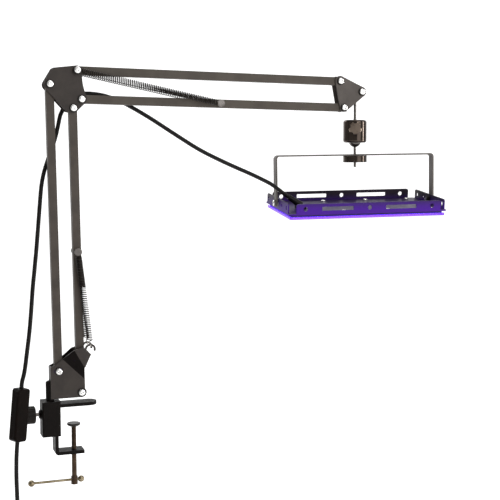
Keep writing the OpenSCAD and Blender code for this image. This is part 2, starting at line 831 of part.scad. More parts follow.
module ball_housing() {
    r = ball_body_d / 2;
    edge = 3;
    color("#141313") difference() {
        translate([hang_x, 0, ball_bottom]) rotate_extrude($fn = 96) union() {
            square([r - edge, ball_body_h]);
            translate([0, edge]) square([r, ball_body_h - 2 * edge]);
            intersection() {
                square([r, ball_body_h]);
                union() {
                    translate([r - edge, edge]) circle(r = edge, $fn = 48);
                    translate([r - edge, ball_body_h - edge]) circle(r = edge, $fn = 48);
                }
            }
        }
        translate([hang_x, 0, ball_c]) sphere(d = ball_d + 2 * run_gap, $fn = 96);
        translate([hang_x, 0, ball_c]) cylinder(d = plunger_d + 2 * run_gap, h = ball_knob_z + 3 - ball_c, $fn = 64);
        translate([hang_x, 0, ball_top - 7]) cylinder(d = stud_d + 2 * run_gap, h = 8, $fn = 48);
        ball_knob_place() translate([0, 0, plunger_d / 2 - 1]) cylinder(d = stud_d + 2 * run_gap, h = r, $fn = 48);
    }
}

module ball_plunger() {
    low = ball_c + ball_d / 2 + soft_gap;
    color("#d8d2c4") translate([hang_x, 0, low]) cylinder(d = plunger_d, h = ball_knob_z + 2.7 - low, $fn = 64);
}

module ball_lock_knob() {
    shank = ball_body_d / 2 - plunger_d / 2 + 0.4;
    color("#1b1a1a") ball_knob_place() translate([0, 0, ball_body_d / 2 + 0.7]) {
        difference() {
            rotate_extrude($fn = 72) polygon([
                [0, 0], [ball_knob_d / 2 - 2.5, 0], [ball_knob_d / 2, 2], [ball_knob_d / 2, 6.2],
                [ball_knob_d / 2 - 1.2, 7.6], [0, 8]
            ]);
            for (turn = [20 : 72 : 308]) {
                rotate([0, 0, turn]) translate([ball_knob_d / 2 + 1, 0, -1]) cylinder(d = 6.4, h = 12, $fn = 32);
            }
        }
        translate([0, 0, -shank]) cylinder(d = stud_d, h = shank + 1, $fn = 48);
    }
}

// Everything under the ball leans a little
module hang_place() {
    translate([hang_x, 0, ball_c]) rotate([0, -hang_lean, 0]) translate([-hang_x, 0, -ball_c]) children();
}

module ball_stem() {
    color("#9a9893") hang_place() {
        translate([hang_x, 0, ball_c]) sphere(d = ball_d, $fn = 96);
        translate([hang_x, 0, stem_bottom]) cylinder(d = stud_d, h = ball_c - stem_bottom, $fn = 48);
    }
}

module lock_disc() {
    color("#171616") hang_place() translate([hang_x, 0, bracket_top - strip_t - run_gap - disc_t]) difference() {
        rotate_extrude($fn = 96) polygon([
            [0, 0], [disc_d / 2 - 0.5, 0], [disc_d / 2, 0.5], [disc_d / 2, disc_t - 0.5],
            [disc_d / 2 - 0.5, disc_t], [0, disc_t]
        ]);
        translate([0, 0, -1]) cylinder(d = stud_d + 2 * run_gap, h = disc_t + 2, $fn = 48);
    }
}

// Lamp bracket, drawn from the middle of the tilt axis

module bracket_place() {
    hang_place() translate([hang_x, 0, lamp_z]) rotate([0, 0, -lamp_yaw]) children();
}

module lamp_place() {
    bracket_place() rotate([lamp_tilt, 0, 0]) children();
}

module bracket_corner(side) {
    bend = 5;
    translate([side * (leg_u + strip_t - bend), bracket_h - bend]) intersection() {
        difference() {
            circle(r = bend, $fn = 64);
            circle(r = bend - strip_t, $fn = 64);
        }
        translate([side > 0 ? 0 : -bend, 0]) square([bend, bend]);
    }
}

module lamp_bracket() {
    bend = 5;
    color("#5e5852") bracket_place() difference() {
        union() {
            upright(-strip_w / 2, strip_w) union() {
                translate([-leg_u - strip_t + bend, bracket_h - strip_t])
                    square([2 * (leg_u + strip_t - bend), strip_t]);
                for (side = [-1, 1]) {
                    translate([side * (leg_u + strip_t / 2) - strip_t / 2, 0]) square([strip_t, bracket_h - bend]);
                    bracket_corner(side);
                }
            }
            for (side = [-1, 1]) {
                translate([side * (leg_u + strip_t / 2), 0, 0]) rotate([0, 90, 0])
                    cylinder(d = strip_w, h = strip_t, center = true, $fn = 64);
            }
        }
        rotate([0, 90, 0]) cylinder(d = bolt_d + 2 * run_gap, h = 2 * leg_u + 20, center = true, $fn = 48);
        translate([0, 0, bracket_h - strip_t - 1]) cylinder(d = stud_d + 2 * run_gap, h = strip_t + 2, $fn = 48);
    }
}

// Puts a piece drawn along +Z onto the tilt axis, pointing out at each side
module on_axis(u) {
    bracket_place() for (turn = [90, -90]) {
        rotate([0, turn, 0]) translate([0, 0, u]) children();
    }
}

module bracket_bolts() {
    inner = lamp_l / 2 - sheet_t - nut_t - 1;
    color("#8a8680") on_axis(inner) {
        cylinder(d = bolt_d, h = leg_u + strip_t - inner, $fn = 48);
        translate([0, 0, leg_u + strip_t - inner]) pan_head(head_d, 3);
    }
}

module bracket_nuts() {
    color("#2a2826") on_axis(lamp_l / 2 - sheet_t - nut_t) difference() {
        cylinder(d = nut_d, h = nut_t, $fn = 6);
        translate([0, 0, -1]) cylinder(d = bolt_d + 2 * run_gap, h = nut_t + 2, $fn = 48);
    }
}

module bracket_washers() {
    color("#8a8680") on_axis(lamp_l / 2) difference() {
        cylinder(d = 10, h = leg_gap, $fn = 48);
        translate([0, 0, -1]) cylinder(d = bolt_d + 2 * run_gap, h = leg_gap + 2, $fn = 48);
    }
}

// Lamp

// A flange's outline, its lower edge on the axis
module flange_shape(l) {
    r = 3;
    translate([-l / 2, 0]) square([l, flange_h - r]);
    translate([-l / 2 + r, 0]) square([l - 2 * r, flange_h]);
    for (side = [-1, 1]) {
        translate([side * (l / 2 - r), flange_h - r]) circle(r = r, $fn = 32);
    }
}

module long_flange() {
    slot_l = 42;
    upright(-sheet_t, sheet_t) translate([0, plate_w]) difference() {
        flange_shape(long_flange_l);
        for (x = [-hole_pitch, 0, hole_pitch]) {
            translate([x, flange_h * 0.54]) circle(d = 5.6, $fn = 32);
        }
        for (x = [-hole_pitch / 2, hole_pitch / 2]) {
            translate([x, flange_h * 0.54]) rounded_rect(slot_l, 5, 1);
        }
    }
}

module short_flange() {
    upright(-sheet_t, sheet_t) translate([0, plate_w]) difference() {
        flange_shape(short_flange_l);
        for (x = [-short_flange_l / 2 + 7, short_flange_l / 2 - 7]) {
            translate([x, flange_h * 0.54]) circle(d = 5.6, $fn = 32);
        }
        for (x = [-19, 19]) {
            translate([x, flange_h * 0.54]) circle(d = 4, $fn = 32);
        }
        translate([0, axis_h]) circle(d = bolt_d + 2 * run_gap, $fn = 48);
    }
}

screw_us = [for (x = [-1.5 : 1 : 1.5]) x * (lamp_l - 33) / 3];
screw_v = lamp_w / 2 - 12.5;

module each_screw() {
    for (x = screw_us, y = [-screw_v, screw_v]) {
        translate([x, y, 0]) children();
    }
}

module lamp_housing() {
    color("#2a2626") lamp_place() difference() {
        union() {
            translate([0, 0, plate_w]) linear_extrude(sheet_t) rounded_rect(lamp_l, lamp_w, 3);
            translate([0, lamp_w / 2, 0]) long_flange();
            translate([0, -lamp_w / 2 + sheet_t, 0]) long_flange();
            rotate([0, 0, 90]) translate([0, lamp_l / 2, 0]) short_flange();
            rotate([0, 0, 90]) translate([0, -lamp_l / 2 + sheet_t, 0]) short_flange();
        }
        each_screw() translate([0, 0, plate_w - 1]) cylinder(d = 3 + 2 * run_gap, h = sheet_t + 2, $fn = 24);
        translate([gland_u, gland_v, plate_w - 1]) cylinder(d = 6, h = sheet_t + 2, $fn = 32);
    }
}

module led_board() {
    color("#e8e6df") lamp_place() difference() {
        translate([0, 0, plate_w - board_t]) linear_extrude(board_t) rounded_rect(lamp_l - 18, lamp_w - 18, 2);
        each_screw() translate([0, 0, plate_w - board_t - 1]) cylinder(d = 3 + 2 * run_gap, h = board_t + 2, $fn = 24);
    }
}

module led_chips() {
    step_u = (lamp_l - 30) / led_columns;
    step_v = (lamp_w - 37) / led_rows;
    color("#d9b8ff") lamp_place() for (i = [0 : led_columns - 1], j = [0 : led_rows - 1]) {
        translate([(i - (led_columns - 1) / 2) * step_u, (j - (led_rows - 1) / 2) * step_v,
            plate_w - board_t - chip_t / 2]) cube([5, 5, chip_t], center = true);
    }
}

module light_seal() {
    color("#b9b2c4") lamp_place() translate([0, 0, plate_w - seal_t]) linear_extrude(seal_t) difference() {
        rounded_rect(lamp_l - 8, lamp_w - 8, 3);
        rounded_rect(lamp_l - 17, lamp_w - 17, 2);
    }
}

module glass_cover() {
    color([0.75, 0.6, 1, 0.5]) lamp_place() translate([0, 0, glass_w])
        linear_extrude(glass_t) rounded_rect(lamp_l - 3, lamp_w - 3, 3);
}

module housing_screws() {
    color("#b8b4ae") lamp_place() each_screw() {
        translate([0, 0, plate_w - board_t]) cylinder(d = 3, h = sheet_t + board_t, $fn = 24);
        translate([0, 0, plate_w + sheet_t]) pan_head(5.6, 2);
    }
}

module cable_gland() {
    color("#141414") lamp_place() {
        translate([gland_u, gland_v, plate_w + sheet_t + 2]) cube([12, 12, 4], center = true);
        translate([gland_u, gland_v, plate_w + sheet_t + gland_foot]) rotate([0, gland_rise - 90, 0])
            cylinder(d1 = gland_base_d, d2 = cord_d + 1.6, h = gland_l, $fn = 48);
    }
}

// Cord, switch, coil and plug

module cord_upper() {
    color("#121212") tube(smooth(cord_upper_points), cord_d, cord_sides);
}

module cord_drop() {
    color("#121212") tube(smooth(cord_drop_points), cord_d, cord_sides);
}

module cord_tail() {
    color("#121212") tube(smooth(cord_tail_points), cord_d, cord_sides);
}

// Path of the coil: it spirals in on one layer, climbs, and spirals out on the other
function coil_point(t) =
    let (
        r = coil_r + coil_pitch * abs(t),
        a = 180 + 360 * (t + coil_turns),
        s = min(max((t + 0.25) / 0.5, 0), 1),
        y = coil_layer * (s * s * (3 - 2 * s) - 0.5)
    )
    coil_c + [r * cos(a), y, r * sin(a)];
coil_rings = 24;
coil_path = concat(
    [for (k = [0 : 2 * coil_turns * coil_rings]) coil_point(k / coil_rings - coil_turns)],
    [coil_c + [-coil_out, coil_layer / 2, -8], coil_c + [-coil_out, coil_layer / 2, -18], plug_top]
);
echo("coil, least gap to itself", least_gap(coil_path, cord_d, 4));

module cord_coil() {
    color("#121212") tube(coil_path, cord_d, 6);
}

module cord_tie() {
    low = coil_r - cord_d / 2 - 2 * soft_gap;
    high = coil_out + cord_d / 2 + 2 * soft_gap;
    wide = coil_layer + cord_d + 4 * soft_gap;
    color("#202020") translate(coil_c) difference() {
        translate([0, 0, (low + high) / 2]) cube([6, wide + 2, high - low + 2], center = true);
        translate([0, 0, (low + high) / 2]) cube([10, wide, high - low], center = true);
    }
}

module switch_place() {
    translate(switch_top) rotate([0, switch_lean, 0]) rotate([0, 0, switch_turn])
        translate([0, 0, -switch_l]) children();
}

// One half of the switch's casing: an upright shell, open towards the other half
module switch_shell(side) {
    wall = 1.4;
    nose = 3;
    difference() {
        intersection() {
            upright(-switch_t / 2, switch_t) polygon([
                [-switch_w / 2 + nose, 0], [switch_w / 2 - nose, 0], [switch_w / 2, nose],
                [switch_w / 2, switch_l - nose], [switch_w / 2 - nose, switch_l], [-switch_w / 2 + nose, switch_l],
                [-switch_w / 2, switch_l - nose], [-switch_w / 2, nose]
            ]);
            linear_extrude(switch_l) rounded_rect(switch_w, switch_t, 2.5);
            translate([-switch_w, side > 0 ? 0 : -switch_t, -1]) cube([2 * switch_w, switch_t, switch_l + 2]);
        }
        translate([0, 0, nose + 2]) linear_extrude(switch_l - 2 * nose - 4)
            rounded_rect(switch_w - 2 * wall, switch_t - 2 * wall, 1.4);
        for (z = [-1, switch_l - nose - 3]) {
            translate([0, 0, z]) cylinder(d = cord_d + 2 * run_gap, h = nose + 4, $fn = 32);
        }
        translate([0, switch_t / 2, switch_l / 2]) cube([rocker_w + 0.4, 2 * wall + 2, rocker_l + 0.4], center = true);
    }
}
rocker_w = 9;
rocker_l = 18;

module switch_front_shell() {
    color("#1a1918") switch_place() switch_shell(-1);
}

module switch_back_shell() {
    color("#1a1918") switch_place() switch_shell(1);
}

module switch_rocker() {
    color("#0d0d0d") switch_place() translate([0, switch_t / 2 - 3.4, switch_l / 2]) rotate([0, 90, 0]) difference() {
        intersection() {
            translate([0, 3, 0]) cube([rocker_l, 6, rocker_w], center = true);
            translate([0, -10.5, 0]) cylinder(r = 16, h = rocker_w + 2, center = true, $fn = 96);
        }
        cylinder(d = 2, h = rocker_w + 2, center = true, $fn = 32);
    }
}

module plug_body() {
    color("#141414") translate(plug_top) difference() {
        union() {
            translate([0, 0, -14]) cylinder(d1 = 11, d2 = cord_d + 2, h = 14, $fn = 48);
            translate([0, 0, -plug_l]) linear_extrude(plug_l - 14) rounded_rect(22, 14, 4);
        }
        translate([0, 0, -5]) cylinder(d = cord_d, h = 7, $fn = 32);
        for (x = [-6.35, 6.35]) {
            translate([x, 0, -plug_l]) cube([1.5, 6.3, 10], center = true);
        }
    }
}

module plug_blades() {
    color("#cfcac0") translate(plug_top) for (x = [-6.35, 6.35]) {
        translate([x, 0, -plug_l - 6]) cube([1.5, 6.3, 22], center = true);
    }
}

clamp_frame();
screw_pad();
clamp_screw();
tommy_bar();
lock_knob();
lock_screw();
swivel_post();
base_bracket();
base_bolts();
base_nuts();
base_washers();
rear_lower_tube();
front_lower_tube();
lower_spring_pin();
lower_spring_front();
lower_spring_back();
elbow_plate_front();
elbow_plate_back();
elbow_bolts();
elbow_nuts();
elbow_washers();
top_arm_tube();
bottom_arm_tube();
upper_spring_pin();
upper_spring_front();
upper_spring_back();
head_plate_front();
head_plate_back();
head_bolts();
head_nuts();
head_washers();
hanger_block();
hanger_stud();
ball_housing();
ball_plunger();
ball_lock_knob();
ball_stem();
lock_disc();
lamp_bracket();
bracket_bolts();
bracket_nuts();
bracket_washers();
lamp_housing();
led_board();
led_chips();
light_seal();
glass_cover();
housing_screws();
cable_gland();
cord_upper();
cord_drop();
switch_front_shell();
switch_back_shell();
switch_rocker();
cord_tail();
cord_coil();
cord_tie();
plug_body();
plug_blades();
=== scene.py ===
import json
import math

import bmesh
import bpy
from mathutils import Matrix, Vector


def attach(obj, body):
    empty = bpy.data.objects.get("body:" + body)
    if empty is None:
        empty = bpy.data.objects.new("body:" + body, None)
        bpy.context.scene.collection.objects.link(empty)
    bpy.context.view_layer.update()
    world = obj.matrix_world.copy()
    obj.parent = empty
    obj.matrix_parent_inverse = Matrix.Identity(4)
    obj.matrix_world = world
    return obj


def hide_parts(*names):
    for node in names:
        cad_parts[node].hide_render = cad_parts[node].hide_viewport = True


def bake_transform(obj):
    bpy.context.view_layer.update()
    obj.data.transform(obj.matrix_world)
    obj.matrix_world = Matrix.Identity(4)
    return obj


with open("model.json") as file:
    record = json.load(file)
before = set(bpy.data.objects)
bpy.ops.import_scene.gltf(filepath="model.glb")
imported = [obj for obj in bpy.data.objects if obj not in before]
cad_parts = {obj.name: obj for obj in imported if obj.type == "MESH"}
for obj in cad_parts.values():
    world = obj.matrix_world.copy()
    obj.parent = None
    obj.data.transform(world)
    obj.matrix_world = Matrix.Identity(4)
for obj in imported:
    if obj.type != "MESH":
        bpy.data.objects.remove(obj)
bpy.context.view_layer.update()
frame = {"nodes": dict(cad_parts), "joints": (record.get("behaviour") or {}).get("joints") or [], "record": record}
mm = 0.001
joints = {j["name"]: j for j in frame["joints"]}
print("stage: frame loaded")


def pivot(joint):
    return Vector(joints[joint]["pos_m"])


def toLinear(hexColor):
    channels = [int(hexColor[i:i + 2], 16) / 255 for i in (1, 3, 5)]
    return [c / 12.92 if c <= 0.04045 else ((c + 0.055) / 1.055) ** 2.4 for c in channels] + [1.0]


# place in mm, angles in degrees, lens in mm
cameraSet = {"place": (-232.3, -1264.8, 294.8), "turn": 19.97, "down": 4.82, "lens": 76.68}

cameraData = bpy.data.cameras.new("camera")
cameraData.lens = cameraSet["lens"]
cameraData.sensor_width = 36
cameraData.clip_start = 0.01
cameraData.clip_end = 30
camera = bpy.data.objects.new("camera", cameraData)
camera.location = Vector(cameraSet["place"]) * mm
camera.rotation_euler = (math.radians(90 - cameraSet["down"]), 0, math.radians(-cameraSet["turn"]))
bpy.context.scene.collection.objects.link(camera)
bpy.context.scene.camera = camera


def addNode(material, kind, settings=None, links=None):
    node = material.node_tree.nodes.new(kind)
    for key, value in (settings or {}).items():
        if key in node.inputs:
            node.inputs[key].default_value = value
        else:
            setattr(node, key, value)
    for key, source in (links or {}).items():
        material.node_tree.links.new(source, node.inputs[key])
    return node


def newMaterial(name, color, roughness, metallic=0.0, **sockets):
    material = bpy.data.materials.new(name)
    material.use_nodes = True
    shader = material.node_tree.nodes["Principled BSDF"]
    shader.inputs["Base Color"].default_value = toLinear(color)
    shader.inputs["Roughness"].default_value = roughness
    shader.inputs["Metallic"].default_value = metallic
    for key, value in sockets.items():
        shader.inputs[key.replace("_", " ")].default_value = value
    return material, shader


# a fine grain as bump, under slow clouds that vary the gloss and the colour; size and depth in mm
grainSet = {"detail": 3.0, "rough": 0.55, "cloudTimes": 22, "cloudDetail": 4.0, "cloudRough": 0.6,
            "gloss": (0.3, 0.7), "tint": (0.42, 0.68)}


def grain(material, shader, size, depth, glossSpread, tint=None):
    g, join = grainSet, material.node_tree.links.new
    place = addNode(material, "ShaderNodeTexCoord").outputs["Object"]
    noise = addNode(material, "ShaderNodeTexNoise",
                    {"Scale": 1 / (size * mm), "Detail": g["detail"], "Roughness": g["rough"]},
                    {"Vector": place})
    bump = addNode(material, "ShaderNodeBump", {"Strength": 1.0, "Distance": depth * mm},
                   {"Height": noise.outputs["Fac"]})
    join(bump.outputs["Normal"], shader.inputs["Normal"])
    cloud = addNode(material, "ShaderNodeTexNoise",
                    {"Scale": 1 / (size * g["cloudTimes"] * mm), "Detail": g["cloudDetail"],
                     "Roughness": g["cloudRough"]}, {"Vector": place})
    base = shader.inputs["Roughness"].default_value
    gloss = addNode(material, "ShaderNodeMapRange",
                    {"From Min": g["gloss"][0], "From Max": g["gloss"][1],
                     "To Min": base - glossSpread, "To Max": base + glossSpread},
                    {"Value": cloud.outputs["Fac"]})
    join(gloss.outputs["Result"], shader.inputs["Roughness"])
    if tint:
        colors = addNode(material, "ShaderNodeMix", {"data_type": "RGBA"})
        colors.inputs[6].default_value = shader.inputs["Base Color"].default_value
        colors.inputs[7].default_value = toLinear(tint)
        fade = addNode(material, "ShaderNodeMapRange", {"From Min": g["tint"][0], "From Max": g["tint"][1]},
                       {"Value": cloud.outputs["Fac"]})
        join(fade.outputs["Result"], colors.inputs[0])
        join(colors.outputs[2], shader.inputs["Base Color"])
    return material


# polyester powder coat, sprayed and baked: satin with a fine orange peel
coatSet = {"peel": 0.9, "depth": 0.035, "glossSpread": 0.05}


def powderCoat(name, color, tint, roughness=0.46, shine=0.22):
    material, shader = newMaterial(name, color, roughness, Specular_IOR_Level=shine)
    return grain(material, shader, coatSet["peel"], coatSet["depth"], coatSet["glossSpread"], tint)


# the arm's coat is a brown black that the light lifts to a warm grey
armCoat = powderCoat("powderCoatBrownBlack", "#433c36", "#3a342f")
# painted light: the upper arm's coat is a lighter copy of the arm's, for the light it catches
upperArmPaintedLightCoat = powderCoat("powderCoatUpperArmPaintedLight", "#464039", "#3f3933")  # a shade lighter
plateCoat = powderCoat("powderCoatPlate", "#332d29", "#2b2623")  # the darkest of the flat parts
# painted light: the head plates' coat is made the lightest, as they are turned to the light
headPlatePaintedLightCoat = powderCoat("powderCoatHeadPaintedLight", "#4d4743", "#433e3a")  # the lightest of the plates
stripCoat = powderCoat("powderCoatStrip", "#57514d", "#4a4541", 0.42, 0.25)  # lighter, a little glossier
clampCoat = powderCoat("enamelledIron", "#0f0b09", "#0a0706", 0.45, 0.07)  # enamel on iron, near black
# painted shade: the folded web's coat is darkened to stand for the shade it lies in
webPaintedShadeCoat = powderCoat("paintedShadeFoldedWeb", "#0f0b0a", "#0b0807", 0.5, 0.05)  # in the cheek's shade

# heights in mm between which the painted violet light on the lamp's coat fades to black
paintedGlowSet = {"low": 231, "high": 251, "depth": 0.03, "roughness": 0.42, "shine": 0.16, "light": "#5a20c8"}


# black coat of the lamp's sheet, with painted violet light and a faint painted glow where its own light spills on
# it from below
def makeLampPaintedGlow(name, low, high, glow=0.0):
    w = paintedGlowSet
    material, shader = newMaterial(name, high, w["roughness"], Specular_IOR_Level=w["shine"])
    join = material.node_tree.links.new
    grain(material, shader, coatSet["peel"], w["depth"], coatSet["glossSpread"])
    place = addNode(material, "ShaderNodeTexCoord")
    parts = addNode(material, "ShaderNodeSeparateXYZ", None, {"Vector": place.outputs["Object"]})
    paintedGlowFade = addNode(material, "ShaderNodeMapRange",
                   {"From Min": w["low"] * mm, "From Max": w["high"] * mm, "To Min": 1.0, "To Max": 0.0,
                    "interpolation_type": "SMOOTHSTEP"}, {"Value": parts.outputs["Z"]})
    colors = addNode(material, "ShaderNodeMix", {"data_type": "RGBA"})
    colors.inputs[6].default_value = toLinear(high)
    colors.inputs[7].default_value = toLinear(low)
    join(paintedGlowFade.outputs["Result"], colors.inputs[0])
    join(colors.outputs[2], shader.inputs["Base Color"])
    if glow:
        shine = addNode(material, "ShaderNodeMath", {"operation": "MULTIPLY"}, {0: paintedGlowFade.outputs["Result"]})
        shine.inputs[1].default_value = glow
        shader.inputs["Emission Color"].default_value = toLinear(w["light"])
        join(shine.outputs["Value"], shader.inputs["Emission Strength"])
    return material


# painted light: violet on the lamp's sheet, and a faint glow, though the sheet is no lamp
lampPaintedGlowCoat = makeLampPaintedGlow("powderCoatLampPaintedGlow", "#3b087c", "#241b27", 0.02)
lampTopPaintedGlowCoat = makeLampPaintedGlow("powderCoatLampBackPaintedGlow", "#27124a", "#1d161f")  # the back catches less of its light

# drawn, turned or plated metal, with slow changes of gloss; the grain is drawn coarser than the
# real one, which is too fine to show
metalSet = {"grain": 0.5, "depth": 0.01, "glossSpread": 0.06}


def plainMetal(name, color, roughness, tint, metallic=1.0):
    material, shader = newMaterial(name, color, roughness, metallic)
    return grain(material, shader, metalSet["grain"], metalSet["depth"], metalSet["glossSpread"], tint)


zincPlate = plainMetal("zincPlatedSteel", "#f4f3f1", 0.24, "#e3e2df")  # bright, nearly white bolt heads
# also the painted shade on the bolt heads' sides and recesses
greyPinAndBoltShade = plainMetal("greyPinSteelAndBoltShade", "#6a6663", 0.3, "#54504d")  # plain grey pins and recesses
blackOxide = plainMetal("blackOxideSteel", "#1d1a18", 0.4, "#25211e", 0.7)  # dull black nuts
springWire = plainMetal("springSteel", "#1d1916", 0.34, "#2a2521", 0.8)  # oiled wire, almost black
brightWire = plainMetal("brightSpringWire", "#c9c5be", 0.24, "#9d9892")  # eyes rubbed bright
oiledSteel = plainMetal("oiledScrewSteel", "#4b3d31", 0.42, "#382d25")  # brown film of oil on the thread
warmPlate = plainMetal("warmBrightSteel", "#877c66", 0.2, "#63573f")  # tarnished bright bar
turnedSteel = plainMetal("turnedSteel", "#6f6b68", 0.26, "#57534f")  # dark stud with a soft streak
nickelBrass = plainMetal("nickelPlatedBrass", "#cfc9bb", 0.22, "#c2b9a4")  # pale, faintly yellow blades

# black nickel, polished: brown black with hard bright streaks, on a slightly wavy surface
polishSet = {"wave": 3.0, "depth": 0.012, "glossSpread": 0.03}
blackNickel, shader = newMaterial("blackNickel", "#544b45", 0.11, 1.0)
grain(blackNickel, shader, polishSet["wave"], polishSet["depth"], polishSet["glossSpread"], "#3f3732")
knobNickel = plainMetal("satinBlackNickel", "#85776b", 0.34, "#665a50")  # satin, lighter and softer
discNickel = plainMetal("darkNickelDisc", "#4a423c", 0.16, "#3a332e")  # the same on a turned disc, darker


# moulded in a spark-eroded tool, which leaves an even fine grain, drawn coarse enough to show
def plastic(name, color, roughness, size, depth, tint=None, shine=0.2):
    material, shader = newMaterial(name, color, roughness, Specular_IOR_Level=shine)
    return grain(material, shader, size, depth, 0.05, tint)


knobPlastic = plastic("glassFilledNylon", "#171310", 0.42, 0.5, 0.03, "#1e1916", 0.12)  # black, dry
switchPlastic = plastic("mouldedAbs", "#0d0907", 0.42, 0.45, 0.025, "#120c0a", 0.03)  # black, hardly shines
washerNylon = plastic("blackNylon", "#0f0d0c", 0.5, 0.6, 0.02)  # matt black
cordPvc = plastic("cordPvc", "#0c0a09", 0.42, 0.8, 0.02, "#13100e", 0.14)  # limp flex with a faint sheen
plugPvc = plastic("plugPvc", "#151312", 0.5, 0.6, 0.02, "#1b1817")  # duller than the flex
naturalNylon = plastic("naturalNylon", "#d8d2c4", 0.45, 0.6, 0.02)  # milky
# painted light: the seal's colour carries the lamp's violet light
silicone = plastic("siliconeRubber", "#3a2b55", 0.55, 0.8, 0.02)  # matt, takes the lamp's violet
boardMask = plastic("whiteSolderMask", "#e9e7e2", 0.35, 0.7, 0.01)  # white lacquer on the board

ledResin, shader = newMaterial("ledResin", "#cdb2ff", 0.2)  # clear resin, lit
shader.inputs["Emission Color"].default_value = toLinear("#7a3dff")
shader.inputs["Emission Strength"].default_value = 5.0
# the glass cover carries the violet light to its edge
coverGlass, shader = newMaterial("floatGlass", "#9a63ff", 0.05, Transmission_Weight=0.75, IOR=1.5)
shader.inputs["Emission Color"].default_value = toLinear("#5a22e0")
shader.inputs["Emission Strength"].default_value = 0.55
print("stage: materials")


def asPiece(name, mesh, material, smoothAngle=35):
    piece = bpy.data.objects.new(name, mesh)
    bpy.context.scene.collection.objects.link(piece)
    mesh.materials.clear()
    for item in material if isinstance(material, (list, tuple)) else [material]:
        mesh.materials.append(item)
    mesh.polygons.foreach_set("use_smooth", [True] * len(mesh.polygons))
    mesh.set_sharp_from_angle(angle=math.radians(smoothAngle))
    mesh.update()
    return piece


def fromBmesh(name, bm, material, matrix=None, smoothAngle=35):
    if matrix is not None:
        bmesh.ops.transform(bm, matrix=matrix, verts=bm.verts)
    mesh = bpy.data.meshes.new(name)
    bm.to_mesh(mesh)
    bm.free()
    return asPiece(name, mesh, material, smoothAngle)


edgeSet = {"segments": 2, "angle": 28, "weld": 0.002, "flat": 0.5}  # mm and degrees


def softened(bm, width):
    edges = [e for e in bm.edges
             if len(e.link_faces) == 2 and e.calc_face_angle(0) > math.radians(edgeSet["angle"])]
    bmesh.ops.bevel(bm, geom=edges, offset=width * mm, offset_type="OFFSET", segments=edgeSet["segments"],
                    profile=0.5, affect="EDGES", clamp_overlap=True, material=-1)


# flat faces keep their own normals, so that only the broken edges shade round
def evenShading(piece):
    modifier = piece.modifiers.new("evenShading", "WEIGHTED_NORMAL")
    modifier.keep_sharp = True
    mesh = bpy.data.meshes.new_from_object(piece.evaluated_get(bpy.context.evaluated_depsgraph_get()))
    piece.modifiers.clear()
    mesh.name = piece.name
    piece.data = mesh


# the solid's own shape, welded, with its edges broken as on the real piece
def dressed(node, body, material, bevel):
    bm = bmesh.new()
    bm.from_mesh(frame["nodes"][node].data)
    bmesh.ops.remove_doubles(bm, verts=bm.verts, dist=edgeSet["weld"] * mm)
    bmesh.ops.dissolve_limit(bm, angle_limit=math.radians(edgeSet["flat"]), verts=bm.verts, edges=bm.edges)
    if bevel:
        softened(bm, bevel)
    piece = fromBmesh(partName(node), bm, material)
    evenShading(piece)
    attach(piece, body)
    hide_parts(node)
    return piece


def partName(node):
    words = node.split("_")
    return words[0] + "".join(w.capitalize() for w in words[1:])


bodyOf = {n: b for b, group in frame["record"]["behaviour"]["bodies"].items() for n in group}

# each solid with its finish and the mm by which its edges are broken
plainPieces = [
    ("clamp_frame", clampCoat, 0.5), ("screw_pad", blackOxide, 0.2), ("tommy_bar", warmPlate, 0.0),
    ("lock_knob", knobPlastic, 0.25), ("lock_screw", greyPinAndBoltShade, 0.2), ("swivel_post", clampCoat, 0.3),
    ("base_bracket", plateCoat, 0.3), ("base_bolts", zincPlate, 0.12), ("base_nuts", blackOxide, 0.15),
    ("base_washers", washerNylon, 0.1), ("lower_spring_pin", greyPinAndBoltShade, 0.2),
    ("rear_lower_tube", armCoat, 0.3), ("front_lower_tube", armCoat, 0.3),
    ("top_arm_tube", upperArmPaintedLightCoat, 0.3), ("bottom_arm_tube", upperArmPaintedLightCoat, 0.3),
    ("elbow_plate_front", plateCoat, 0.3), ("elbow_plate_back", plateCoat, 0.3),
    ("elbow_bolts", zincPlate, 0.12), ("elbow_nuts", blackOxide, 0.15), ("elbow_washers", washerNylon, 0.1),
    ("upper_spring_pin", greyPinAndBoltShade, 0.2),
    ("head_plate_front", headPlatePaintedLightCoat, 0.3), ("head_plate_back", headPlatePaintedLightCoat, 0.3),
    ("head_bolts", zincPlate, 0.12), ("head_nuts", blackOxide, 0.15), ("head_washers", washerNylon, 0.1),
    ("hanger_block", blackOxide, 0.3), ("hanger_stud", turnedSteel, 0.0), ("ball_housing", blackNickel, 0.0),
    ("ball_plunger", naturalNylon, 0.2), ("ball_lock_knob", knobNickel, 0.3), ("ball_stem", turnedSteel, 0.0),
    ("lock_disc", discNickel, 0.2), ("lamp_bracket", stripCoat, 0.3), ("bracket_bolts", zincPlate, 0.12),
    ("bracket_nuts", blackOxide, 0.15), ("bracket_washers", zincPlate, 0.1), ("lamp_housing", lampPaintedGlowCoat, 0.25),
    ("led_board", boardMask, 0.1), ("led_chips", ledResin, 0.1), ("light_seal", silicone, 0.3),
    ("glass_cover", coverGlass, 0.4), ("housing_screws", zincPlate, 0.1), ("cable_gland", cordPvc, 0.3),
    ("switch_front_shell", switchPlastic, 0.3), ("switch_back_shell", switchPlastic, 0.3),
    ("switch_rocker", switchPlastic, 0.2), ("cord_tie", plugPvc, 0.3), ("plug_body", plugPvc, 0.6),
    ("plug_blades", nickelBrass, 0.2),
]
piece = {}
for node, material, bevel in plainPieces:
    piece[node] = dressed(node, bodyOf[node], material, bevel)


# painted light and shade: a second material on the faces that the test picks
def paintLightShadeOnFaces(node, material, picks):
    mesh = piece[node].data
    mesh.materials.append(material)
    for face in mesh.polygons:
        if picks(face):
            face.material_index = 1


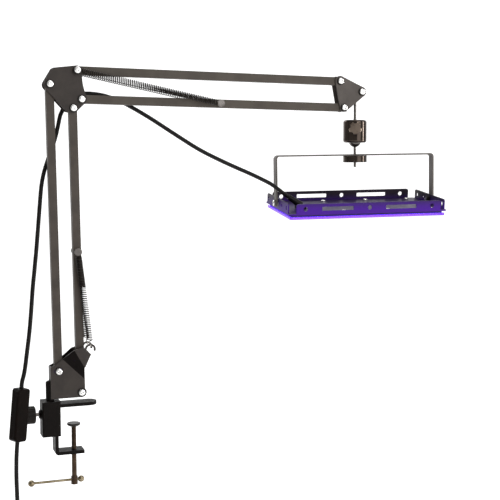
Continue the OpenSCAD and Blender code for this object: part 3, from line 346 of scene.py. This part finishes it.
# how square to an axis a face must be to count, and where the web is, in mm
facing = {"lampUp": 0.7, "boltHead": 0.6, "web": (0.1, 0.995), "webFrom": -15, "webAside": 4}
# painted light: the up-facing faces of the lamp get the paler violet
paintLightShadeOnFaces("lamp_housing", lampTopPaintedGlowCoat, lambda face: face.normal.z > facing["lampUp"])
# painted shade: the heads' sides and recesses get the darker grey, for the shade round and inside them
for node in ("base_bolts", "elbow_bolts", "head_bolts"):
    paintLightShadeOnFaces(node, greyPinAndBoltShade, lambda face: abs(face.normal.y) < facing["boltHead"])
paintLightShadeOnFaces("bracket_bolts", greyPinAndBoltShade, lambda face: abs(face.normal.x) < facing["boltHead"])


# the web folded between each cheek and its hooked ear
def onWeb(face):
    low, high = facing["web"]
    return (face.center.x > facing["webFrom"] * mm and abs(face.center.y) > facing["webAside"] * mm
            and low < abs(face.normal.y) < high)


# painted shade: the web's faces get the near-black coat
paintLightShadeOnFaces("base_bracket", webPaintedShadeCoat, onWeb)
print("stage: hard pieces", len(piece))


# the solid's plain shaft is turned down to the thread's root, and the thread is wound round it; mm
threadSet = {"crest": 3.0, "root": 2.55, "pitch": 1.0, "low": -84.5, "high": -26.0, "steps": 24,
             "shaftOver": 2.9, "under": 0.5, "edge": 0.2, "sink": 0.06, "flat": 0.03,
             "rise": (0.0, 0.4, 0.52, 0.92)}


def threadedScrew():
    t = threadSet
    bm = bmesh.new()
    bm.from_mesh(frame["nodes"]["clamp_screw"].data)
    bmesh.ops.remove_doubles(bm, verts=bm.verts, dist=edgeSet["weld"] * mm)
    shaft = [v for v in bm.verts
             if v.co.z > (t["low"] - t["under"]) * mm and v.co.xy.length > t["shaftOver"] * mm]
    bmesh.ops.scale(bm, vec=(t["root"] / t["crest"], t["root"] / t["crest"], 1), verts=shaft)
    bmesh.ops.dissolve_limit(bm, angle_limit=math.radians(edgeSet["flat"]), verts=bm.verts, edges=bm.edges)
    softened(bm, t["edge"])
    body = fromBmesh("clampScrewShaft", bm, oiledSteel)
    evenShading(body)
    turns = int((t["high"] - t["low"]) / t["pitch"]) - 1
    bm = bmesh.new()
    deep, top = t["root"] - t["sink"], t["crest"] - t["flat"]
    profile = zip((deep, top, top, deep), t["rise"])
    corners = [bm.verts.new((r * mm, 0, (t["low"] + z) * mm)) for r, z in profile]
    edges = [bm.edges.new(pair) for pair in zip(corners, corners[1:])]
    bmesh.ops.spin(bm, geom=corners + edges, cent=(0, 0, 0), axis=(0, 0, 1), angle=2 * math.pi * turns,
                   dvec=(0, 0, t["pitch"] / t["steps"] * mm), steps=turns * t["steps"])
    bmesh.ops.recalc_face_normals(bm, faces=bm.faces)
    thread = fromBmesh("clampScrewThread", bm, oiledSteel, None, 30)
    for part in (body, thread):
        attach(part, "screw")
        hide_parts("clamp_screw")
    print("stage: screw, thread top", round(max(v.co.z for v in thread.data.vertices) / mm, 2))


threadedScrew()


# a Catmull-Rom curve through the points, with steps to a span
def smoothRoute(points, steps=10):
    points = [Vector(p) for p in points]
    line = []
    for i in range(len(points) - 1):
        a, b, c, d = (points[min(max(k, 0), len(points) - 1)] for k in (i - 1, i, i + 1, i + 2))
        for step in range(steps):
            t = step / steps
            line.append(0.5 * (2 * b + (c - a) * t + (2 * a - 5 * b + 4 * c - d) * t * t
                               + (3 * b - a - 3 * c + d) * t ** 3))
    return line + [points[-1]]


def routeLength(line):
    return sum((b - a).length for a, b in zip(line, line[1:]))


# the part of the line between two distances from its start
def stretchOf(line, first, last):
    part, run = [], 0.0
    for a, b in zip(line, line[1:]):
        step = (b - a).length
        for mark in (first, last):
            if run <= mark < run + step or (mark == last and b is line[-1] and mark >= run + step):
                part.append(a.lerp(b, min((mark - run) / step, 1.0)))
        if first < run + step < last:
            part.append(b.copy())
        run += step
    return part


def tubeMesh(name, line, diameter, resolution=4):
    curve = bpy.data.curves.new(name, "CURVE")
    curve.dimensions = "3D"
    curve.bevel_depth = diameter / 2
    curve.bevel_resolution = resolution
    curve.use_fill_caps = True
    spline = curve.splines.new("POLY")
    spline.points.add(len(line) - 1)
    for point, place in zip(spline.points, line):
        point.co = (*place, 1)
    holder = bpy.data.objects.new(name, curve)
    mesh = bpy.data.meshes.new_from_object(holder)
    mesh.name = name
    bpy.data.objects.remove(holder)
    bpy.data.curves.remove(curve)
    return mesh


# route points in mm
cordSet = {"diameter": 5.0, "grip": 2.0}
elbowJoint = Vector((-5.5, 10.5, 355.5))
elbowWay = Vector((-7.8, 0.2, -18.0)).normalized()
glandMouth = Vector((278.42, -2.536, 248.426))
glandWay = Vector((-0.8403, -0.00096, 0.54213))
overArm = [
    glandMouth, glandMouth + 2 * glandWay, glandMouth + 6 * glandWay, (256, -4, 263.6), (242, -4, 270.7),
    (226, -4, 277.9), (193, -3, 292), (161, -1, 307.5), (130, 2, 326.5), (100, 7, 346), (74, 10.5, 361),
    (58, 10.5, 368), (45, 10.5, 372), (33, 10.5, 373.9), (23, 10.5, 374.3), (14, 10.5, 373), (6, 10.5, 369.6),
    elbowJoint - 9 * elbowWay, elbowJoint - 4 * elbowWay, elbowJoint,
]
downArm = [
    elbowJoint, elbowJoint + 4 * elbowWay, elbowJoint + 9 * elbowWay, (-12, 11, 334), (-15, 11, 322),
    (-20, 11, 307), (-26, 10, 291), (-30.5, 8, 277), (-33.5, 5.5, 263), (-36, 2.5, 243), (-39, -1, 216),
    (-42, -4, 189), (-45, -7, 166), (-48, -10, 143), (-50.5, -13, 119), (-53.5, -17, 95), (-57.5, -21, 70),
    (-61, -23.4, 49), (-63.9, -24, 38), (-64.9, -24, 29.7),
]
belowSwitch = [
    (-70.5, -24, -32.2), (-71.4, -24, -42), (-72.2, -24.2, -56), (-72.6, -24.8, -75), (-72.3, -25.8, -98),
    (-71.8, -26.5, -120), (-71.5, -26.8, -142), (-71.5, -26.8, -156), (-71.5, -26.8, -166),
]
# each stretch of the cord goes from one body to the next over its length in mm, and None takes the rest
stretches = {
    "overArm": (overArm, "cord_upper", [
        ("lamp", "bracket", 32), ("bracket", "stem", 32), ("stem", "ball_house", 32),
        ("ball_house", "hanger", 32), ("hanger", "head", 32), ("head", "top_tube", 125),
        ("top_tube", "elbow", None)]),
    "downArm": (downArm, "cord_drop", [
        ("elbow", "rear_tube", 60), ("rear_tube", None, 90), ("rear_tube", "base", None)]),
    "belowSwitch": (belowSwitch, "cord_tail", [("base", None, None)]),
}


def cordPiece(name, line, node, bodies):
    line = [p * mm for p in line]
    part = asPiece(name, tubeMesh(name, line, cordSet["diameter"] * mm), cordPvc, 60)
    if bodies[1]:
        grip = cordSet["grip"] * mm
        ahead, behind = stretchOf(line, 0.0, grip)[-1], stretchOf(line, 0.0, routeLength(line) - grip)[-1]
        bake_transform(part)
    else:
        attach(part, bodies[0])
    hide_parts(node)


def layCord(name):
    route, node, parts = stretches[name]
    line = smoothRoute(route)
    total, done = routeLength(line), 0.0
    for number, (first, second, span) in enumerate(parts):
        upTo = total if span is None else done + span
        along = stretchOf(line, done, upTo)
        cordPiece(f"{name}{number + 1}", along, node, (first, second))
        done = upTo
    print("stage: cord", name, round(total), "mm")


coilSet = {"inner": 21.5, "pitch": 5.6, "turns": 2.5, "layer": 5.6, "middle": (-36, -24, -166),
           "steps": 48, "climb": 0.5, "out": -71.5, "ends": (-174, -184, -196)}


# spirals in on one layer, climbs to the other and spirals out
def coilLine():
    c, turns = coilSet, coilSet["turns"]
    line = []
    for k in range(int(2 * turns * c["steps"]) + 1):
        t = k / c["steps"] - turns
        radius, angle = c["inner"] + c["pitch"] * abs(t), math.radians(180 + 360 * (t + turns))
        s = min(max((t + c["climb"] / 2) / c["climb"], 0), 1)
        line.append(Vector(c["middle"]) + Vector((
            radius * math.cos(angle), c["layer"] * (s * s * (3 - 2 * s) - 0.5), radius * math.sin(angle))))
    y = c["middle"][1] + c["layer"] / 2
    return line[:-1] + smoothRoute([line[-1]] + [(c["out"], y, z) for z in c["ends"]], 4)


for name in stretches:
    layCord(name)
cordPiece("coiledRest", coilLine(), "cord_coil", ("base", None))
print("stage: cords")


# each spring is one wire, an eye, its coils and the other eye, and the lower ones open out towards
# the hook; mm, and degrees for the eyes
springSet = {"outer": 8.0, "upperWire": 1.02, "lowerWire": 1.25, "upperCurls": 72, "closeCurls": 28,
             "openCurls": 28, "closeShare": 0.36, "curlSteps": 18, "gap": 3.5, "neck": 1.6, "lead": 0.3,
             "eyeSteps": 15, "eyeFrom": 75, "eyeTo": 285, "brightPast": 2.2}


def eyeTurn(centre, along, across, radius, first, last):
    steps = springSet["eyeSteps"]
    angles = [math.radians(first + (last - first) * k / steps) for k in range(steps + 1)]
    return [centre + radius * (math.cos(a) * along + math.sin(a) * across) for a in angles]


def springLine(start, end, across, beyond, lastAcross, startEye, endEye, share, curls, thick):
    g = springSet
    along = (end - start).normalized()
    radius = (g["outer"] - thick) / 2
    first = startEye + g["gap"]
    run = (end - start).length - first - endEye - g["gap"]
    line = eyeTurn(start, along, across, startEye, -g["eyeFrom"], -g["eyeTo"])
    line.append(start + (startEye + g["neck"]) * along + g["lead"] * radius * across)
    turn, place = 0.0, 0.0
    for count, length in zip(curls, (share, 1 - share)):
        steps = count * g["curlSteps"]
        for k in range(steps):
            line.append(start + (first + run * (place + length * k / steps)) * along
                        + radius * (math.cos(turn) * across + math.sin(turn) * beyond))
            turn += 2 * math.pi / g["curlSteps"]
        place += length
    line.append(start + (first + run) * along + radius * across)
    line.append(end - (endEye + g["neck"]) * along + g["lead"] * radius * lastAcross)
    return line + eyeTurn(end, -along, lastAcross, endEye, g["eyeFrom"], g["eyeTo"])


def spring(node, start, end, across, lastAcross, eyes, share, curls):
    start, end = Vector(start), Vector(end)
    thick = springSet[node.split("_")[0] + "Wire"]
    line = springLine(start, end, Vector(across), Vector((0, 1, 0)), Vector(lastAcross), *eyes,
                      share, curls, thick)
    mesh = tubeMesh(partName(node), [p * mm for p in line], thick * mm, 1)
    wire = asPiece(partName(node), mesh, [springWire, brightWire], 60)
    axis, total = (end - start).normalized(), (end - start).length
    brightFrom = eyes[0] + springSet["brightPast"] if node.startswith("lower") else -total
    brightTo = total - eyes[1] - springSet["brightPast"]
    for face in mesh.polygons:
        reach = (face.center / mm - start).dot(axis)
        face.material_index = 1 if reach < brightFrom or reach > brightTo else 0
    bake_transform(wire)
    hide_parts(node)


# places in mm and slopes in degrees; the bends are shares of a spring's length, and nothing here reads them
armSet = {"springY": 9.75, "boltEye": 3.4, "pinEye": 2.9, "hookEye": 2.5, "hook": (37.5, 0, 30.4),
          "upperPinAt": 172, "lowerPinAt": 170, "lowerLean": -0.9, "upperSlope": -0.7,
          "upperBend": (0.02, 0.22), "lowerBend": (0.26, 0.97)}
lean, slope = math.radians(armSet["lowerLean"]), math.radians(armSet["upperSlope"])
armJoints = ("upper_arm_tilt", "bottom_tube_tilt", "front_tube_tilt")
elbowTop, elbowLow, frontBolt = (pivot(joint) / mm for joint in armJoints)
upperWay = Vector((math.cos(slope), 0, math.sin(slope)))
upperPin = elbowLow + armSet["upperPinAt"] * upperWay
lowerPin = frontBolt + armSet["lowerPinAt"] * Vector((math.sin(lean), 0, math.cos(lean)))
hookTop = pivot("lower_arm_tilt") / mm + Vector(armSet["hook"])
upperAcross = Vector((-upperWay.z, 0, upperWay.x))
for side, sign in (("front", -1), ("back", 1)):
    aside = Vector((0, sign * armSet["springY"], 0))
    spring("upper_spring_" + side, elbowTop + aside,
           upperPin + aside, upperAcross, upperAcross, (armSet["boltEye"], armSet["pinEye"]), 0.5,
           (springSet["upperCurls"] // 2,) * 2)
    spring("lower_spring_" + side, lowerPin + aside,
           hookTop + aside, (1, 0, 0), (0, 1, 0), (armSet["pinEye"], armSet["hookEye"]),
           springSet["closeShare"], (springSet["closeCurls"], springSet["openCurls"]))
print("stage: springs")


# mm, the floor's turn in degrees
studio = {"floor": -290, "back": 1500, "bend": 900, "reach": 4200, "wall": 2500, "turn": -20, "glow": 0.3}


def sweepFloor():
    bm = bmesh.new()
    low, back, bend, reach, wall = (studio[k] * mm for k in ("floor", "back", "bend", "reach", "wall"))
    start = bm.verts.new((0, -reach, low))
    middle = bm.verts.new((0, back, low))
    bm.edges.new((start, middle))
    bmesh.ops.spin(bm, geom=[middle], cent=(0, back, low + bend), axis=(1, 0, 0), angle=math.radians(90),
                   steps=24)
    bm.verts.ensure_lookup_table()
    top = max(bm.verts, key=lambda v: (v.co.z, v.co.y))
    high = bmesh.ops.extrude_vert_indiv(bm, verts=[top])["verts"]
    bmesh.ops.translate(bm, vec=(0, 0, wall), verts=high)
    bmesh.ops.translate(bm, vec=(-reach, 0, 0), verts=bm.verts)
    wide = bmesh.ops.extrude_edge_only(bm, edges=bm.edges[:])["geom"]
    moved = [g for g in wide if isinstance(g, bmesh.types.BMVert)]
    bmesh.ops.translate(bm, vec=(2 * reach, 0, 0), verts=moved)
    bmesh.ops.recalc_face_normals(bm, faces=bm.faces)
    # matt white paper that glows a little, so that it stays white to its edges
    paper, paperShader = newMaterial("backdropPaper", "#f7f7f7", 0.9, Specular_IOR_Level=0.1)
    paperShader.inputs["Emission Color"].default_value = (1, 1, 1, 1)
    paperShader.inputs["Emission Strength"].default_value = studio["glow"]
    turn = Matrix.Rotation(math.radians(studio["turn"]), 4, "Z")
    floor = fromBmesh("studioFloor", bm, paper, turn, 80)


# each softbox has its place, what it looks at, its width and height, all in m, and its watts
lookAt = (0.15, 0, 0.2)
softboxes = {
    "keyLight": ((0.9, -2.0, 1.35), lookAt, (1.3, 1.2), 18),
    "fillLight": ((0.95, -2.1, 0.3), lookAt, (1.4, 0.9), 6.5),
    "topLight": ((0.3, 0.3, 2.2), lookAt, (1.8, 1.8), 24),
    "stripLight": ((1.55, -0.57, 0.38), (0.37, 0, 0.32), (0.13, 1.1), 9.5),  # the streak on the ball head
    "backLight": ((-0.6, 1.6, 1.3), lookAt, (1.0, 1.0), 8),
}


def softbox(name, place, aim, size, watts):
    data = bpy.data.lights.new(name, "AREA")
    data.shape = "RECTANGLE"
    data.size, data.size_y = size
    data.energy = watts
    lamp = bpy.data.objects.new(name, data)
    lamp.location = place
    lamp.rotation_euler = (Vector(aim) - Vector(place)).to_track_quat("-Z", "Y").to_euler()
    bpy.context.scene.collection.objects.link(lamp)


sweepFloor()
for name, settings in softboxes.items():
    softbox(name, *settings)
world = bpy.data.worlds.new("studioWorld")
world.use_nodes = True
world.node_tree.nodes["Background"].inputs["Color"].default_value = (1.0, 1.0, 1.0, 1)
world.node_tree.nodes["Background"].inputs["Strength"].default_value = 0.42
bpy.context.scene.world = world
bpy.context.scene.view_settings.view_transform = "Standard"
print("stage: studio")
